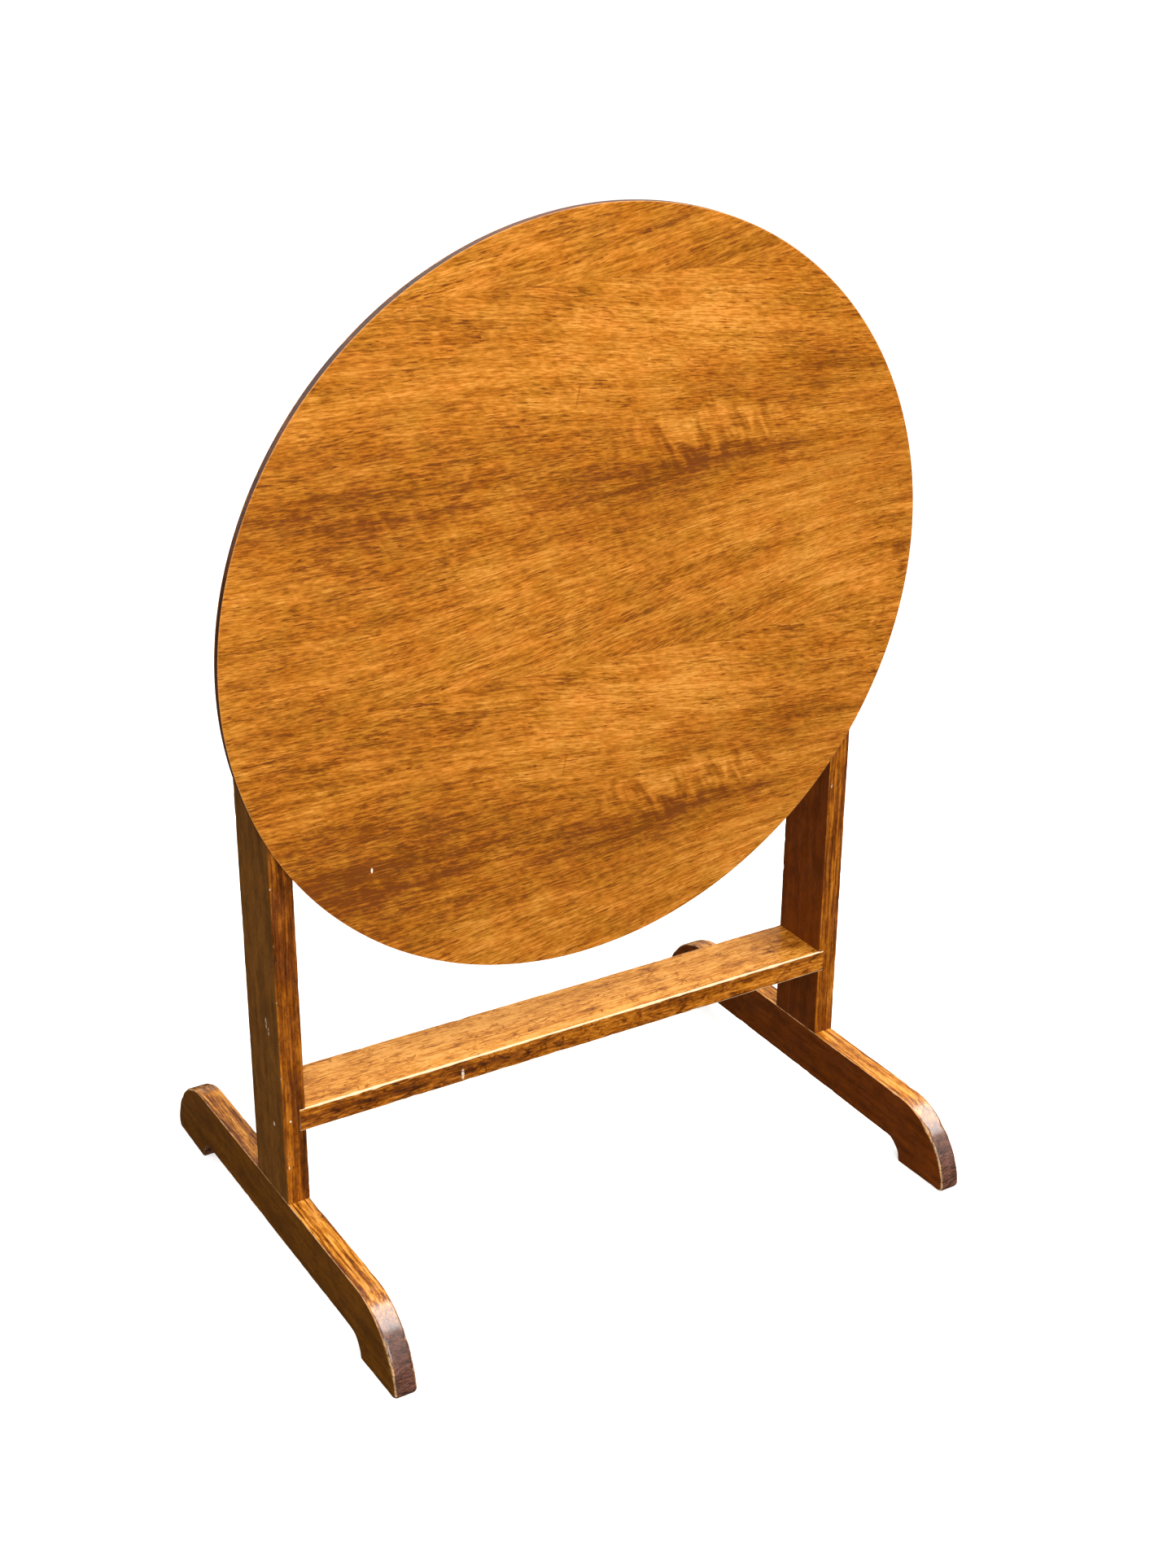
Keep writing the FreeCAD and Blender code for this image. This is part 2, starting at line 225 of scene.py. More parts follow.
def feed(tree, socket, value):
    if isinstance(value, bpy.types.NodeSocket):
        tree.links.new(value, socket)
    else:
        socket.default_value = value


def calc(tree, operation, a, b=0.0, c=0.0, clamp=False):
    node = addNode(tree, "Math", operation=operation, use_clamp=clamp)
    for socket, value in zip(node.inputs, (a, b, c)):
        feed(tree, socket, value)
    return node.outputs[0]


def times(tree, a, b):
    return calc(tree, "MULTIPLY", a, b)


def plus(tree, a, b):
    return calc(tree, "ADD", a, b)


def minus(tree, a, b, clamp=False):
    return calc(tree, "SUBTRACT", a, b, clamp=clamp)


def calcVector(tree, operation, a, b):
    node = addNode(tree, "VectorMath", operation=operation)
    feed(tree, node.inputs[0], a)
    feed(tree, node.inputs[1], b)
    return node.outputs["Value"] if operation == "LENGTH" else node.outputs[0]


def between(tree, value, low, high, first=0.0, last=1.0):
    node = addNode(tree, "MapRange", interpolation_type="SMOOTHSTEP")
    for socket, number in zip(node.inputs, (value, low, high, first, last)):
        feed(tree, socket, number)
    return node.outputs[0]


def blend(tree, how, amount, a, b):
    node = addNode(tree, "Mix", data_type="RGBA", blend_type=how)
    feed(tree, node.inputs[0], amount)
    feed(tree, node.inputs[6], a)
    feed(tree, node.inputs[7], b)
    return node.outputs[2]


def ramp(tree, value, stops):
    node = addNode(tree, "ValToRGB")
    elements = node.color_ramp.elements
    while len(elements) < len(stops):
        elements.new(0.5)
    for element, (place, colour) in zip(elements, stops):
        element.position = place
        element.color = (*colour, 1)
    feed(tree, node.inputs[0], value)
    return node.outputs[0]


# noise on a vector in millimetres, with its own grain size along each axis
def grainNoise(tree, vector, sizes, detail=2.0, roughness=0.5, distortion=0.0):
    scaled = calcVector(tree, "DIVIDE", vector, sizes)
    node = addNode(tree, "TexNoise")
    feed(tree, node.inputs["Vector"], scaled)
    feed(tree, node.inputs["Scale"], 1.0)
    feed(tree, node.inputs["Detail"], detail)
    feed(tree, node.inputs["Roughness"], roughness)
    feed(tree, node.inputs["Distortion"], distortion)
    return node.outputs[0]


def split(tree, vector):
    node = addNode(tree, "SeparateXYZ")
    feed(tree, node.inputs[0], vector)
    return node.outputs[0], node.outputs[1], node.outputs[2]


def join(tree, x, y, z):
    node = addNode(tree, "CombineXYZ")
    for socket, value in zip(node.inputs, (x, y, z)):
        feed(tree, socket, value)
    return node.outputs[0]


def makeGroup(name, inputs, outputs):
    tree = bpy.data.node_groups.new(name, "ShaderNodeTree")
    for label, kind, default in inputs:
        socket = tree.interface.new_socket(name=label, in_out="INPUT", socket_type="NodeSocket" + kind)
        socket.default_value = default
    for label, kind in outputs:
        tree.interface.new_socket(name=label, in_out="OUTPUT", socket_type="NodeSocket" + kind)
    return tree, tree.nodes.new("NodeGroupInput").outputs, tree.nodes.new("NodeGroupOutput").inputs


def useGroup(tree, group, **values):
    node = addNode(tree, "Group", node_tree=group)
    for name, value in values.items():
        feed(tree, node.inputs[name], value)
    return node.outputs


# effects that several finishes share

# wood seen from any side: the grain runs along X of a vector in millimetres. Bands are broad,
# streaks run long and thin, dashes are the short fine texture, pores are small dark slits
def makeGrainGroup():
    tree, given, result = makeGroup(
        "woodGrain",
        [("Vector", "Vector", (0, 0, 0)), ("Band", "Float", 30.0), ("Wander", "Float", 4.0),
         ("Dash", "Float", 13.0), ("Fine", "Float", 1.15)],
        [("Bands", "Float"), ("Streaks", "Float"), ("Dashes", "Float"), ("Pores", "Float"),
         ("Height", "Float")])
    place = given["Vector"]
    drift = calc(tree, "MULTIPLY_ADD", grainNoise(tree, place, (190, 60, 60)), given["Wander"],
                 times(tree, given["Wander"], -0.5))
    place = calcVector(tree, "ADD", place, join(tree, 0.0, drift, drift))
    band, dash, fine = given["Band"], given["Dash"], given["Fine"]
    bands = grainNoise(tree, place, join(tree, times(tree, band, 12.0), band, band), 2.0, 0.5)
    streaks = grainNoise(tree, place, (85, 3.0, 3.0), 3.0, 0.6)
    dashes = grainNoise(tree, place, join(tree, dash, fine, fine), 2.0, 0.6)
    pores = between(tree, grainNoise(tree, place, (7, 0.8, 0.8), 1.0), 0.62, 0.72)
    crowd = between(tree, grainNoise(tree, place, (50, 14, 14), 1.0), 0.42, 0.62)
    pores = times(tree, pores, crowd)
    height = calc(tree, "MULTIPLY_ADD", dashes, 0.5, times(tree, pores, -0.5))
    feed(tree, result["Bands"], between(tree, bands, 0.30, 0.70))
    feed(tree, result["Streaks"], between(tree, streaks, 0.34, 0.66))
    feed(tree, result["Dashes"], between(tree, dashes, 0.32, 0.68))
    feed(tree, result["Pores"], pores)
    feed(tree, result["Height"], height)
    return tree


# a soft-edged oval: 1 in the middle, 0 outside |(p - centre) / radii| = 1
def makePatchGroup():
    tree, given, result = makeGroup(
        "softPatch",
        [("Vector", "Vector", (0, 0, 0)), ("Centre", "Vector", (0, 0, 0)), ("Radii", "Vector", (1, 1, 1)),
         ("Hardness", "Float", 0.0)],
        [("Mask", "Float")])
    offset = calcVector(tree, "SUBTRACT", given["Vector"], given["Centre"])
    away = calcVector(tree, "DIVIDE", offset, given["Radii"])
    distance = calcVector(tree, "LENGTH", away, (0, 0, 0))
    feed(tree, result["Mask"], between(tree, distance, 1.0, given["Hardness"]))
    return tree


# the mask of a patch from a group made by makePatchGroup
def patchMask(tree, place, centre, radii, hardness=0.0):
    return useGroup(tree, patchGroup, Vector=place, Centre=centre, Radii=radii, Hardness=hardness)["Mask"]


# worn edges, also carrying a painted edge highlight: the arris value of a piece, broken up by noise
def makeWearGroup():
    tree, given, result = makeGroup(
        "edgeWear",
        [("Vector", "Vector", (0, 0, 0)), ("Amount", "Float", 0.5)],
        [("WornAndHighlight", "Float"), ("Chips", "Float")])
    arris = addNode(tree, "Attribute", attribute_name="arris").outputs["Fac"]
    broken = grainNoise(tree, given["Vector"], (9, 9, 9), 3.0, 0.65)
    limit = minus(tree, 1.05, given["Amount"])
    worn = times(tree, arris, plus(tree, broken, 0.45))
    feed(tree, result["WornAndHighlight"], between(tree, worn, times(tree, limit, 0.7), limit))
    fleck = between(tree, grainNoise(tree, given["Vector"], (3.2, 3.2, 3.2), 2.0), 0.68, 0.72)
    feed(tree, result["Chips"], times(tree, fleck, between(tree, arris, 0.25, 0.6)))
    return tree


# fine curved scratches: thin lines where a warped noise crosses its middle value
def makeScratchGroup():
    tree, given, result = makeGroup(
        "fineScratches",
        [("Vector", "Vector", (0, 0, 0)), ("Density", "Float", 0.5), ("Width", "Float", 0.012)],
        [("Mask", "Float")])
    masks = []
    for sizes, shift in (((30, 6, 6), (0, 0, 0)), ((15, 9, 9), (210, 90, 40))):
        moved = calcVector(tree, "ADD", given["Vector"], shift)
        value = grainNoise(tree, moved, sizes, 1.0, 0.4, 0.6)
        line = calc(tree, "ABSOLUTE", minus(tree, value, 0.5))
        line = between(tree, line, given["Width"], 0.0)
        broken = between(tree, grainNoise(tree, moved, (22, 12, 12), 2.0),
                         minus(tree, 0.72, times(tree, given["Density"], 0.25)), 0.74)
        masks.append(times(tree, line, broken))
    feed(tree, result["Mask"], calc(tree, "MAXIMUM", masks[0], masks[1]))
    return tree


# blotches of tone and of polish, both about 0.5
def makeMottleGroup():
    tree, given, result = makeGroup(
        "mottle", [("Vector", "Vector", (0, 0, 0)), ("Size", "Float", 20.0)],
        [("Tone", "Float"), ("Polish", "Float")])
    size = given["Size"]
    tone = grainNoise(tree, given["Vector"], join(tree, size, size, size), 4.0, 0.6, 0.3)
    moved = calcVector(tree, "ADD", given["Vector"], (310, 120, 70))
    polish = grainNoise(tree, moved, join(tree, size, size, size), 3.0, 0.6)
    feed(tree, result["Tone"], between(tree, tone, 0.25, 0.75))
    feed(tree, result["Polish"], between(tree, polish, 0.25, 0.75))
    return tree


grainGroup = makeGrainGroup()
patchGroup = makePatchGroup()
wearGroup = makeWearGroup()
scratchGroup = makeScratchGroup()
mottleGroup = makeMottleGroup()
print("shared effects made")


# finishes

def newMaterial(name):
    material = bpy.data.materials.new(name)
    material.use_nodes = True
    tree = material.node_tree
    return material, tree, tree.nodes["Principled BSDF"]


# a piece's own coordinates in millimetres, turned so that the grain runs along X
def grainVector(tree, turn, shift=(0, 0, 0)):
    mapping = addNode(tree, "Mapping", vector_type="POINT")
    feed(tree, mapping.inputs["Vector"], addNode(tree, "TexCoord").outputs["Object"])
    mapping.inputs["Rotation"].default_value = [math.radians(angle) for angle in turn]
    mapping.inputs["Scale"].default_value = (1000, 1000, 1000)
    mapping.inputs["Location"].default_value = shift
    return mapping.outputs[0]


def addBump(tree, shader, height, distance, strength=1.0):
    bump = addNode(tree, "Bump")
    bump.inputs["Strength"].default_value = strength
    bump.inputs["Distance"].default_value = distance
    feed(tree, bump.inputs["Height"], height)
    feed(tree, shader.inputs["Normal"], bump.outputs[0])


# sum of (value - 0.5) * weight over the pairs, added to a starting tone
def mixTones(tree, start, pairs):
    total = start
    for value, weight in pairs:
        total = plus(tree, total, times(tree, minus(tree, value, 0.5), weight))
    return total


veneerLook = {
    "leafWidth": 365.0,       # the show veneer is laid in leaves that repeat one figure
    "leafEdge": -55.0,
    "leafTip": 180.0,         # from a leaf's lower edge up to the line that the figure closes on
    "ripplePitch": 11.0,
    "colours": [(0.00, (0.165, 0.038, 0.001)), (0.25, (0.280, 0.077, 0.001)), (0.50, (0.430, 0.136, 0.006)),
                (0.75, (0.568, 0.198, 0.021)), (1.00, (0.720, 0.285, 0.050))],
    # centre x, height in the leaf, half length, half height, darker (-) or lighter (+)
    "clouds": [(-270, 8, 210, 70, -0.26), (-198, -17, 130, 34, -0.14), (-76, 27, 190, 48, -0.18),
               (46, -4, 180, 30, -0.26), (165, 3, 190, 17, -0.20), (76, -48, 150, 40, -0.06),
               (95, 34, 150, 46, -0.08), (200, -166, 150, 34, -0.06), (243, 92, 110, 50, -0.12),
               (0, 122, 280, 76, 0.20), (-122, -166, 170, 36, 0.08), (266, -120, 170, 70, 0.16),
               (200, -60, 180, 50, 0.10), (-310, -176, 120, 16, -0.14), (-60, -100, 240, 44, 0.05),
               (130, 120, 120, 30, 0.06)],
    "spots": [(-282, -56, 5.0, 3.2), (-256, -55, 5.0, 3.4), (-232, -55, 5.4, 3.0), (362, -1, 14, 15),
              (366, -22, 9, 7), (-363, -3, 9, 4), (348, -64, 4, 5), (352, 68, 5, 4), (-8, 68, 3.2, 2.2)],
    # centre x, height on the disc, half length, half height, hardness, how much darker
    "shades": [(-190, -250, 260, 130, 0.2, 0.10), (-235, -120, 200, 330, 0.25, 0.10)],
    # centre x, height in the leaf, half length, half height, hardness, how strongly it ripples
    "ripples": [(115, 31, 140, 46, 0.3, 0.46), (20, -62, 260, 70, 0.1, 0.10), (-200, -5, 190, 70, 0.1, 0.12)],
    "tick": (-41.4, 83.0, 0.0),
    "chip": (-231.8, -219.9, 0.0),
    "tone": 0.535,
    "swayHeight": 20.0,
    "fanHeight": 70.0,        # how far from the closing line the grain still bends towards it
    "fanAbove": 0.95,
    "fanBelowExtra": 0.65,
    "slitDepth": 0.55,
    "coatRoughness": 0.25,
}


# figured veneer in slip-matched leaves: the grain closes towards the right on one line,
# with a smoky band and a curly ripple beside it
def makeShowVeneer(look):
    material, tree, shader = newMaterial("showVeneer")
    flat = addNode(tree, "Mapping", vector_type="POINT")
    feed(tree, flat.inputs["Vector"], addNode(tree, "TexCoord").outputs["Object"])
    c, s = math.cos(-tipAngle), math.sin(-tipAngle)
    flat.inputs["Rotation"].default_value = (-tipAngle, 0, 0)
    flat.inputs["Scale"].default_value = (1000, 1000, 1000)
    flat.inputs["Location"].default_value = (0, pivotPlace[2] * 1000 * s, pivotPlace[2] * 1000 * (1 - c))
    across, up, _ = split(tree, flat.outputs[0])
    fromEdge = minus(tree, up, look["leafEdge"])
    leaf = calc(tree, "FLOOR", calc(tree, "DIVIDE", fromEdge, look["leafWidth"]))
    fromTip = minus(tree, fromEdge, times(tree, leaf, look["leafWidth"]))
    inLeaf = minus(tree, fromTip, look["leafTip"])
    slices = times(tree, leaf, 0.6)
    place = join(tree, across, inLeaf, slices)

    sway = grainNoise(tree, place, (330, 110, 40), 1.0)
    swayed = plus(tree, inLeaf, times(tree, minus(tree, sway, 0.5), look["swayHeight"]))
    closing = between(tree, across, -260, 420)
    below = between(tree, inLeaf, 25, -25)
    spread = times(tree, closing, plus(tree, look["fanAbove"], times(tree, below, look["fanBelowExtra"])))
    bent = calc(tree, "TANH", calc(tree, "DIVIDE", swayed, look["fanHeight"]))
    fanned = calc(tree, "MULTIPLY_ADD", times(tree, spread, look["fanHeight"]), bent, swayed)
    grainPlace = join(tree, across, fanned, slices)
    grain = useGroup(tree, grainGroup, Vector=grainPlace, Band=13.0, Wander=3.0, Dash=11.0, Fine=1.7)
    apart = calcVector(tree, "ADD", grainPlace, (500, 70, 30))
    coarse = useGroup(tree, grainGroup, Vector=apart, Band=34.0, Wander=8.0, Dash=30.0, Fine=3.4)
    slits = between(tree, grainNoise(tree, grainPlace, (17, 1.5, 1.5), 2.0, 0.6, 0.6), 0.575, 0.635)
    gathered = between(tree, grainNoise(tree, place, (60, 24, 20), 2.0), 0.42, 0.60)
    slits = times(tree, slits, gathered)

    tone = mixTones(tree, look["tone"], [
        (grain["Bands"], 0.20), (coarse["Bands"], 0.20), (grain["Streaks"], 0.20),
        (grain["Dashes"], 0.42), (coarse["Dashes"], 0.12)])
    tone = minus(tree, tone, times(tree, slits, look["slitDepth"]))
    for x, y, halfLong, halfHigh, amount in look["clouds"]:
        cloud = patchMask(tree, join(tree, across, swayed, 0.0), (x, y, 0), (halfLong, halfHigh, 1))
        tone = plus(tree, tone, times(tree, cloud, amount))

    # one crisp dark line marks where the figure closes
    ridge = minus(tree, swayed, between(tree, across, -30, 190, -15, 4))
    line = between(tree, calc(tree, "ABSOLUTE", ridge), 5.0, 0.5)
    stretch = times(tree, between(tree, across, -90, 20), between(tree, across, 260, 170))
    line = times(tree, line, stretch)
    tone = minus(tree, tone, times(tree, line, 0.16))

    # the curl: uneven soft bars that lean back, strongest above the closing line
    lean = plus(tree, across, times(tree, inLeaf, 0.55))
    bars = join(tree, lean, inLeaf, slices)
    ripple = between(tree, grainNoise(tree, bars, (look["ripplePitch"], 26, 40), 1.0, 0.5, 0.3), 0.3, 0.7)
    crossGrain = between(tree, grainNoise(tree, bars, (5, 9, 40), 2.0), 0.28, 0.72)
    rippled = 0.0
    for x, y, halfLong, halfHigh, hardness, amount in look["ripples"]:
        patch = patchMask(tree, place, (x, y, 0), (halfLong, halfHigh, 60), hardness)
        rippled = plus(tree, rippled, times(tree, patch, amount))
    tone = plus(tree, tone, times(tree, minus(tree, ripple, 0.5), rippled))

    mottle = useGroup(tree, mottleGroup, Vector=calcVector(tree, "MULTIPLY", place, (0.5, 1, 1)), Size=22.0)
    tone = mixTones(tree, tone, [(mottle["Tone"], 0.22), (crossGrain, 0.10)])
    # the disc is a little darker on its left
    flatPlace = join(tree, across, up, 0.0)
    for x, y, halfLong, halfHigh, hardness, amount in look["shades"]:
        shade = patchMask(tree, flatPlace, (x, y, 0), (halfLong, halfHigh, 1), hardness)
        tone = minus(tree, tone, times(tree, shade, amount))
    tone = minus(tree, tone, times(tree, grain["Pores"], 0.32))
    slanted = calc(tree, "MULTIPLY_ADD", inLeaf, -0.18, across)
    tick = patchMask(tree, join(tree, slanted, inLeaf, 0.0), look["tick"], (1.5, 15, 1), 0.4)
    tone = minus(tree, tone, times(tree, tick, 0.22))
    seam = between(tree, calc(tree, "ABSOLUTE", plus(tree, inLeaf, look["leafTip"])), 0.9, 0.1)
    tone = minus(tree, tone, times(tree, seam, 0.08))
    scratches = useGroup(tree, scratchGroup, Vector=flat.outputs[0], Density=0.5, Width=0.010)
    tone = minus(tree, tone, times(tree, scratches["Mask"], 0.24))
    for x, y, halfLong, halfHigh in look["spots"]:
        spot = patchMask(tree, flatPlace, (x, y, 0), (halfLong, halfHigh, 1))
        tone = minus(tree, tone, times(tree, spot, 0.34), clamp=True)
    colour = ramp(tree, tone, look["colours"])

    # the stain drifts between a redder and a greener brown
    drift = useGroup(tree, mottleGroup, Vector=calcVector(tree, "MULTIPLY", place, (0.6, 1, 1)), Size=26.0)
    warm = blend(tree, "MULTIPLY", 1.0, colour, (1.01, 0.97, 0.84, 1))
    cool = blend(tree, "MULTIPLY", 1.0, colour, (0.95, 1.06, 0.98, 1))
    colour = blend(tree, "MIX", drift["Tone"], warm, cool)

    chip = patchMask(tree, flatPlace, look["chip"], (1.3, 3.2, 1), 0.6)
    colour = blend(tree, "MIX", chip, colour, (0.85, 0.75, 0.62, 1))
    wear = useGroup(tree, wearGroup, Vector=flat.outputs[0], Amount=0.40)
    colour = blend(tree, "MIX", times(tree, wear["WornAndHighlight"], 0.4), colour, (0.60, 0.28, 0.08, 1))
    feed(tree, shader.inputs["Base Color"], colour)
    feed(tree, shader.inputs["Roughness"], between(tree, mottle["Polish"], 0.0, 1.0, 0.42, 0.56))
    shader.inputs["Coat Weight"].default_value = 0.3
    shader.inputs["Coat Roughness"].default_value = look["coatRoughness"]
    shader.inputs["Coat IOR"].default_value = 1.45
    shader.inputs["Specular IOR Level"].default_value = 0.2
    height = minus(tree, grain["Height"], times(tree, scratches["Mask"], 0.4))
    height = plus(tree, height, times(tree, mottle["Polish"], 1.2))
    addBump(tree, shader, height, 0.00012)
    return material


alongX = (0, 0, 0)
alongY = (0, 0, -90)
alongZ = (0, 90, 0)

# what a stained and varnished part looks like. colours run from its dark to its light grain, turn
# sends the grain to X, tone sets how light it starts, ribbon how strongly it is striped, top is a
# painted top light, how much paler the upward faces are painted; the side shade numbers are a painted
# shade, how far the wide side faces are painted darker and in which colour; darkEnds whether the
# rounded ends are, marks are pale flecks and shades darker or lighter clouds at their own places
frameLook = {
    "colours": [(0.00, (0.045, 0.010, 0.000)), (0.30, (0.165, 0.038, 0.000)), (0.55, (0.370, 0.112, 0.003)),
                (0.80, (0.640, 0.240, 0.022)), (1.00, (0.840, 0.380, 0.075))],
    "endGrain": (0.095, 0.034, 0.022), "worn": (0.80, 0.48, 0.22), "chip": (0.86, 0.74, 0.58),
    "turn": alongX, "seed": 0.0, "tone": 0.5, "top": 0.0, "sideShade": 0.0, "sideShadeColour": (0.175, 0.064, 0.0065),
    "band": 14.0, "ribbon": 0.3, "dash": 0.28, "dashLength": 14.0, "speck": 0.16,
    "wear": 0.3, "chips": 0.3, "scratch": 0.2, "scratchWidth": 0.014,
    "coat": 0.35, "coatIor": 1.5, "darkEnds": False, "marks": [], "shades": [],
}


# stained hardwood under varnish
def makeFrameWood(name, look):
    material, tree, shader = newMaterial(name)
    seed, coat = look["seed"], look["coat"]
    place = grainVector(tree, look["turn"], (seed * 731, seed * 97, seed * 53))
    own = grainVector(tree, (0, 0, 0))
    grain = useGroup(tree, grainGroup, Vector=place, Band=look["band"], Wander=6.0, Dash=look["dashLength"],
                     Fine=1.3)
    mottle = useGroup(tree, mottleGroup, Vector=calcVector(tree, "MULTIPLY", place, (0.5, 1, 1)), Size=14.0)
    fleck = useGroup(tree, mottleGroup, Vector=calcVector(tree, "MULTIPLY", place, (0.4, 1, 1)), Size=2.6)
    start = mixTones(tree, look["tone"], [
        (grain["Bands"], 0.22), (grain["Streaks"], look["ribbon"]), (grain["Dashes"], look["dash"]),
        (mottle["Tone"], 0.22), (fleck["Tone"], look["speck"])])
    start = minus(tree, start, times(tree, grain["Pores"], 0.25))
    sideways, lengthways, upwards = split(tree, addNode(tree, "TexCoord").outputs["Normal"])
    # painted top light: the upward faces are made paler in colour, as if lit from above
    start = plus(tree, start, times(tree, between(tree, upwards, 0.5, 0.95), look["top"]))
    for centre, radii, amount in look["shades"]:
        cloud = patchMask(tree, own, centre, radii, 0.2)
        start = plus(tree, start, times(tree, cloud, amount))
    scratches = useGroup(tree, scratchGroup, Vector=place, Density=look["scratch"],
                         Width=look["scratchWidth"])
    start = minus(tree, start, times(tree, scratches["Mask"], 0.40), clamp=True)
    colour = ramp(tree, start, look["colours"])
    height = plus(tree, times(tree, grain["Height"], 1.2), times(tree, mottle["Polish"], 2.2))

    # painted shade: the wide side faces are painted darker in colour, and their varnish is made thinner
    glaze = coat
    if look["sideShade"]:
        wide = between(tree, calc(tree, "ABSOLUTE", sideways), 0.55, 0.95)
        wide = times(tree, wide, look["sideShade"])
        cloudy = mixTones(tree, 0.5, [(mottle["Tone"], 0.5), (grain["Bands"], 0.3), (fleck["Tone"], 0.25)])
        shade = blend(tree, "MULTIPLY", 1.0, (*look["sideShadeColour"], 1), calcGrey(tree, cloudy, 0.65, 1.35))
        colour = blend(tree, "MIX", wide, colour, shade)
        if look["darkEnds"]:
            glaze = between(tree, calc(tree, "ABSOLUTE", lengthways), 0.0, 0.2, 0.22, coat)
            arris = addNode(tree, "Attribute", attribute_name="arris").outputs["Fac"]
            glaze = times(tree, glaze, between(tree, arris, 0.05, 0.6, 1.0, 0.2))
        glaze = times(tree, glaze, calc(tree, "MULTIPLY_ADD", wide, -0.9, 1.0))
    feed(tree, shader.inputs["Coat Weight"], glaze)

    # rounded ends show dark, rough end grain
    if look["darkEnds"]:
        ends = between(tree, calc(tree, "ABSOLUTE", lengthways), 0.25, 0.75)
        squeezed = calcVector(tree, "MULTIPLY", own, (0.6, 1.0, 1.3))
        rough = useGroup(tree, mottleGroup, Vector=squeezed, Size=6.0)
        endShade = calcGrey(tree, rough["Tone"], 0.45, 1.6)
        shade = blend(tree, "MULTIPLY", 1.0, (*look["endGrain"], 1), endShade)
        colour = blend(tree, "MIX", times(tree, ends, 0.92), colour, shade)
        height = plus(tree, height, times(tree, times(tree, rough["Polish"], ends), 17.0))

    worn = useGroup(tree, wearGroup, Vector=place, Amount=look["wear"])
    if look["wear"]:
        # pale worn edges; on the rail the cream edge colour is also a painted highlight along its front top
        # edge
        colour = blend(tree, "MIX", times(tree, worn["WornAndHighlight"], 0.75), colour, (*look["worn"], 1))
    colour = blend(tree, "MIX", times(tree, worn["Chips"], look["chips"]), colour, (*look["chip"], 1))
    for centre, radii in look["marks"]:
        mark = patchMask(tree, own, centre, radii, 0.55)
        ragged = times(tree, mark, between(tree, fleck["Tone"], 0.25, 0.5))
        colour = blend(tree, "MIX", times(tree, ragged, 0.8), colour, (*look["chip"], 1))
    feed(tree, shader.inputs["Base Color"], colour)
    feed(tree, shader.inputs["Roughness"], between(tree, mottle["Polish"], 0.0, 1.0, 0.36, 0.55))
    shader.inputs["Coat Roughness"].default_value = 0.18
    shader.inputs["Coat IOR"].default_value = look["coatIor"]
    shader.inputs["Specular IOR Level"].default_value = 0.2
    height = minus(tree, height, times(tree, scratches["Mask"], 0.6))
    height = minus(tree, height, times(tree, worn["Chips"], 1.5))
    addBump(tree, shader, height, 0.00016)
    return material


# a grey colour from a number, scaled from low to high
def calcGrey(tree, value, low, high):
    grey = between(tree, value, 0.0, 1.0, low, high)
    node = addNode(tree, "CombineColor")
    for socket in node.inputs:
        feed(tree, socket, grey)
    return node.outputs[0]


metalLooks = {
    "boltSteel": {"colour": (0.34, 0.32, 0.30), "dull": (0.12, 0.085, 0.06), "roughness": 0.38, "dirt": 0.55},
    "washerBrass": {"colour": (0.62, 0.42, 0.15), "dull": (0.20, 0.12, 0.05), "roughness": 0.34, "dirt": 0.5},
}


def makeMetal(name, look):
    material, tree, shader = newMaterial(name)
    place = grainVector(tree, (0, 0, 0))
    mottle = useGroup(tree, mottleGroup, Vector=place, Size=5.0)
    scratches = useGroup(tree, scratchGroup, Vector=calcVector(tree, "MULTIPLY", place, (4, 4, 4)),
                         Density=0.8, Width=0.03)
    dull = between(tree, mottle["Tone"], 0.35, 0.8, 0.0, look["dirt"])
    colour = blend(tree, "MIX", dull, (*look["colour"], 1), (*look["dull"], 1))
    colour = blend(tree, "MIX", times(tree, scratches["Mask"], 0.4), colour, (0.8, 0.76, 0.7, 1))
    feed(tree, shader.inputs["Base Color"], colour)
    feed(tree, shader.inputs["Metallic"], between(tree, dull, 0.0, 1.0, 1.0, 0.4))
    low, high = look["roughness"] - 0.08, look["roughness"] + 0.18
    feed(tree, shader.inputs["Roughness"], between(tree, mottle["Polish"], 0.0, 1.0, low, high))
    addBump(tree, shader, minus(tree, mottle["Polish"], scratches["Mask"]), 0.00006)
    return material


railTop = boxOf("lower_rail")[1][2] * 1000
frontFace = boxOf("lower_rail")[0][1] * 1000
outerLeft = boxOf("upright_left")[0][0] * 1000
